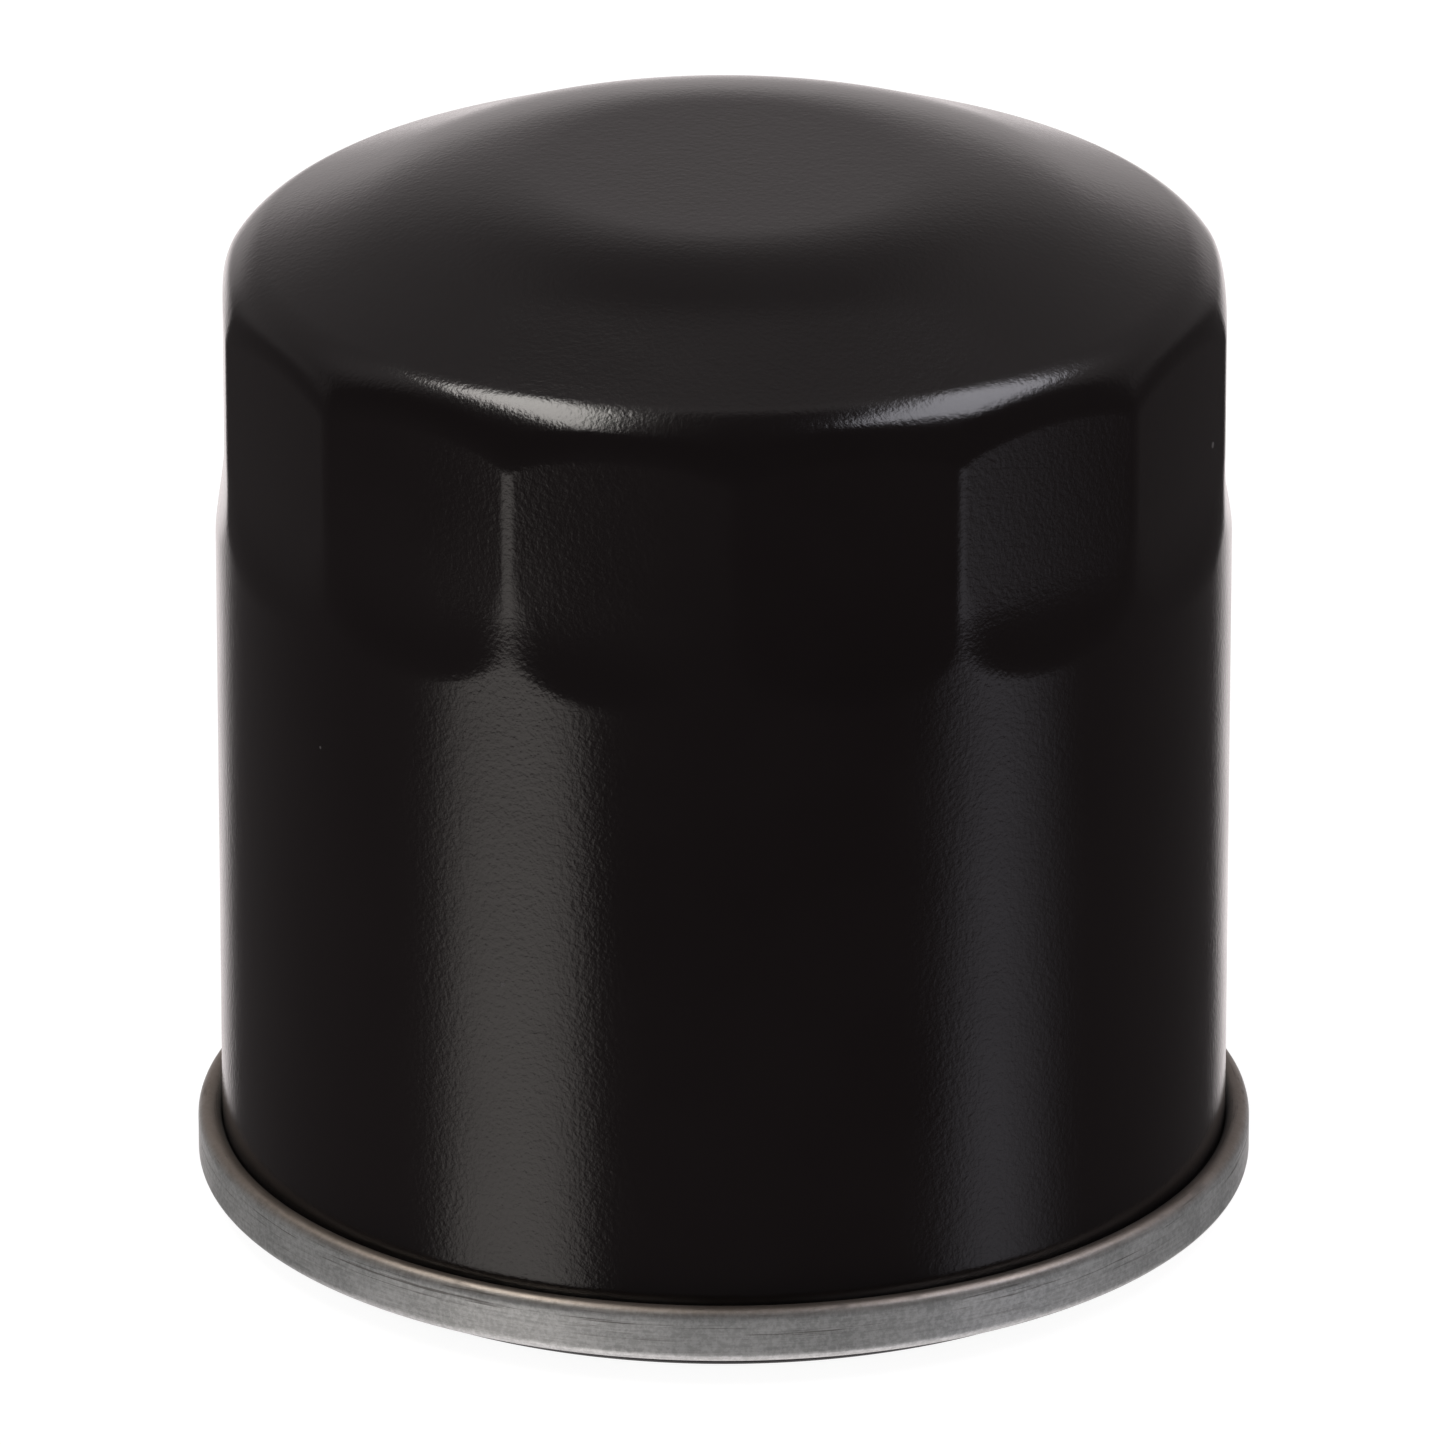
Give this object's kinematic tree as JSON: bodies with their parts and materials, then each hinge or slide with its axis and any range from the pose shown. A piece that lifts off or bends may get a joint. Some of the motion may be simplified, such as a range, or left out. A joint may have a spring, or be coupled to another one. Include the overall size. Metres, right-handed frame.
{
  "type": "oil filter",
  "caption": "Spin-on oil filter: black drawn can with wrench flats round its dome, silver double seam, gasket and a threaded base plate.",
  "frame": {"origin": "centre of the gasket's sealing face", "axes": "+Z along the filter's axis, from the gasket to the dome; -Y is the side the viewer faces"},
  "size_m": [0.0692, 0.0692, 0.0705],
  "materials": {
    "black_paint": "gloss",
    "lid_steel": "satin",
    "sealing_compound": "matte",
    "gasket_rubber": "matte",
    "plate_steel": "satin",
    "valve_rubber": "satin",
    "cap_steel": "satin",
    "plastisol": "satin",
    "tube_steel": "satin",
    "filter_paper": "matte",
    "spring_wire": "satin"
  },
  "bodies": {
    "housing": {"can_shell": "black_paint", "seaming_lid": "lid_steel", "seam_compound": "sealing_compound", "sealing_gasket": "gasket_rubber", "base_plate": "plate_steel", "element_spring": "spring_wire"},
    "element": {"lower_end_cap": "cap_steel", "upper_end_cap": "cap_steel", "lower_potting": "plastisol", "upper_potting": "plastisol", "center_tube": "tube_steel", "pleated_media": "filter_paper", "media_seam_clip": "cap_steel", "bypass_cage": "cap_steel", "spring_seat": "cap_steel", "bypass_spring": "spring_wire"},
    "bypass_valve": {"bypass_poppet": "cap_steel", "bypass_seal": "valve_rubber", "bypass_stem": "plate_steel"},
    "anti_drain_flap": {"anti_drain_valve": "valve_rubber"}
  },
  "joints": [
    {"name": "element_lift", "type": "slide", "parent": "housing", "child": "element", "axis": [0, 0, 1], "range_m": [0, 0.001], "stiffness_N_per_m": 4000, "springref_m": -0.012, "deforming": ["element_spring"]},
    {"name": "bypass_open", "type": "slide", "parent": "element", "child": "bypass_valve", "axis": [0, 0, -1], "range_m": [0, 0.0035], "stiffness_N_per_m": 2500, "springref_m": -0.004, "deforming": ["bypass_spring"]},
    {"name": "anti_drain_lift", "type": "slide", "parent": "housing", "child": "anti_drain_flap", "axis": [0, 0, 1], "range_m": [0, 0.0015], "stiffness_N_per_m": 200, "springref_m": -0.001, "deforming": ["anti_drain_valve"]}
  ]
}
